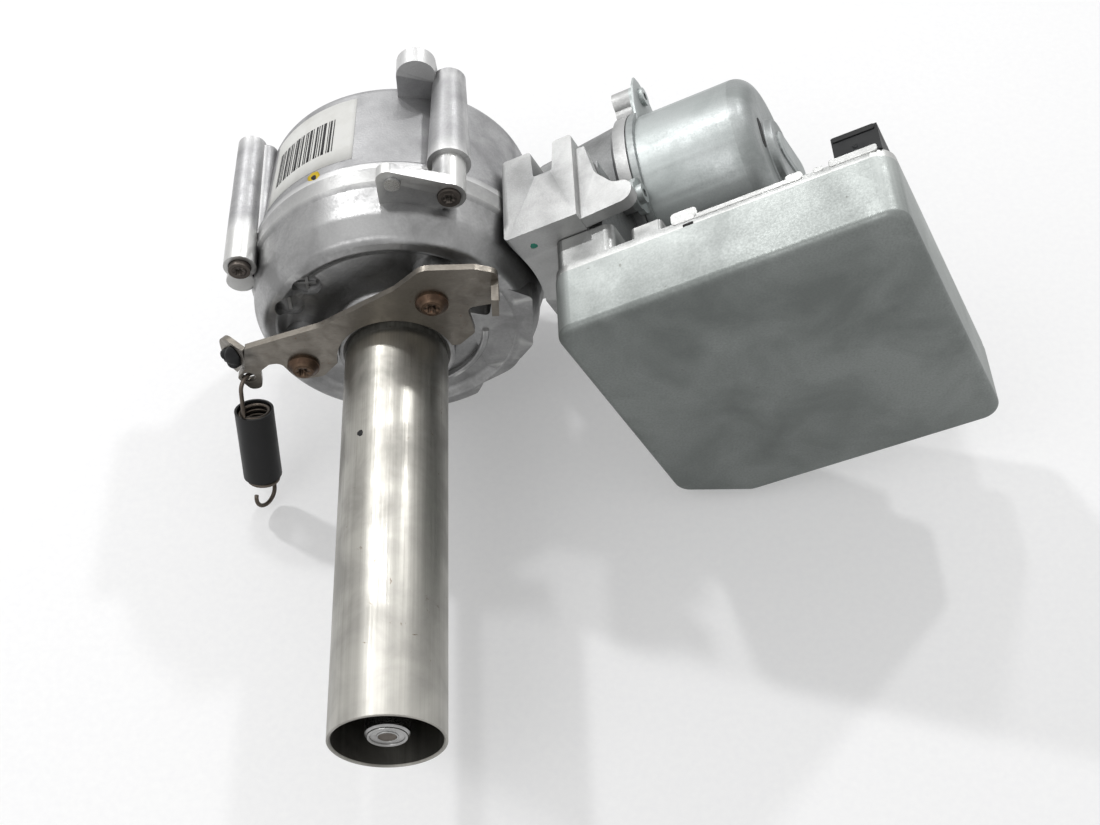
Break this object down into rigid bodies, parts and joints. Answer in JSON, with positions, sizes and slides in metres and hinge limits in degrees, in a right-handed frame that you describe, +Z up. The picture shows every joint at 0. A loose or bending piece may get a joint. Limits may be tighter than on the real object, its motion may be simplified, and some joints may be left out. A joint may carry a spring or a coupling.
{
  "type": "electric power steering column",
  "caption": "Steering column with a jacket tube, worm-gear drive housing, electric assist motor, control unit box, shafts, bracket and hanging spring.",
  "frame": {"origin": "centre of the jacket tube's open end", "axes": "+Y along the column from the open end towards the gear housing, +X to the right, towards the motor and control unit, +Z up, away from the surface that the column lies on"},
  "size_m": [0.3415, 0.345, 0.1923],
  "materials": {
    "drawn_steel": "drawn tube, lengthwise grain, light stains",
    "front_cast_aluminium": "die-cast, satin",
    "rear_cast_aluminium": "die-cast, blasted, bright grain",
    "mount_cast_aluminium": "die-cast, matte",
    "base_cast_aluminium": "die-cast, bright",
    "bearing_steel": "ground",
    "shaft_steel": "turned, dull",
    "forged_steel": "turned",
    "spring_steel": "oiled wire",
    "plated_steel": "zinc plated, bluish",
    "lid_steel": "zinc plated sheet, stained",
    "stamped_steel": "stamped plate, rusty edges",
    "screw_steel": "dark, rusty",
    "button_steel": "brown oxide",
    "moulded_coil": "moulded",
    "sensor_brass": "turned",
    "seal_rubber": "matte",
    "gear_nylon": "cut nylon",
    "lamination_steel": "stacked sheet",
    "winding_copper": "enamelled wire",
    "commutator_copper": "machined",
    "coupling_plastic": "moulded",
    "magnet_ferrite": "sintered",
    "brush_plastic": "moulded",
    "bush_bronze": "sintered bronze",
    "board_laminate": "lacquered",
    "capacitor_foil": "sleeved",
    "black_plastic": "moulded",
    "sleeve_plastic": "shrunk sleeve"
  },
  "bodies": {
    "housing": {"jacket_tube": "drawn_steel", "front_housing": "front_cast_aluminium", "rear_housing": "rear_cast_aluminium", "front_bearing_outer": "bearing_steel", "main_bearing_outers": "bearing_steel", "sensor_coil": "moulded_coil", "output_seal": "seal_rubber", "joint_seal": "seal_rubber", "worm_bearing_outers": "bearing_steel", "tunnel_plug": "plated_steel", "motor_can": "plated_steel", "motor_flange": "plated_steel", "motor_screws": "plated_steel", "motor_magnets": "magnet_ferrite", "brush_plate": "brush_plastic", "rear_bush": "bush_bronze", "drive_mount": "mount_cast_aluminium", "unit_lid": "lid_steel", "unit_base": "base_cast_aluminium", "circuit_board": "board_laminate", "board_spacers": "base_cast_aluminium", "capacitors": "capacitor_foil", "unit_connector": "black_plastic", "unit_screws": "screw_steel", "housing_screws": "screw_steel", "bracket_screws": "button_steel", "locating_pin": "bearing_steel", "column_bracket": "stamped_steel", "bracket_clip": "black_plastic"},
    "output": {"output_shaft": "forged_steel", "torsion_bar": "spring_steel", "wheel_hub": "forged_steel", "worm_wheel_rim": "gear_nylon", "main_bearing_inners": "bearing_steel"},
    "input": {"input_shaft": "forged_steel", "steering_shaft": "shaft_steel", "sensor_sleeve": "sensor_brass", "front_bearing_inner": "bearing_steel"},
    "worm": {"worm_shaft": "forged_steel", "worm_bearing_inners": "bearing_steel", "motor_shaft": "shaft_steel", "rotor_core": "lamination_steel", "rotor_windings": "winding_copper", "commutator": "commutator_copper", "shaft_coupling": "coupling_plastic"},
    "spring": {"tilt_spring": "spring_steel", "spring_sleeve": "sleeve_plastic"}
  },
  "joints": [
    {"name": "output_turn", "type": "hinge", "parent": "housing", "child": "output", "pos_m": [0, 0.275, 0], "axis": [0, 1, 0], "continuous": true},
    {"name": "torsion_twist", "type": "hinge", "parent": "output", "child": "input", "pos_m": [0, 0.275, 0], "axis": [0, 1, 0], "range_deg": [-5, 5], "stiffness_Nm_per_rad": 130},
    {"name": "worm_turn", "type": "hinge", "parent": "housing", "child": "worm", "pos_m": [0.02628, 0.275, -0.05114], "axis": [0.8894, 0, 0.4571], "continuous": true},
    {"name": "spring_swing", "type": "hinge", "parent": "housing", "child": "spring", "pos_m": [-0.066, 0.1825, -0.0093], "axis": [0, 1, 0], "range_deg": [-25, 25]}
  ],
  "couplings": [
    {"joint": "worm_turn", "follows": "output_turn", "ratio": 20}
  ]
}
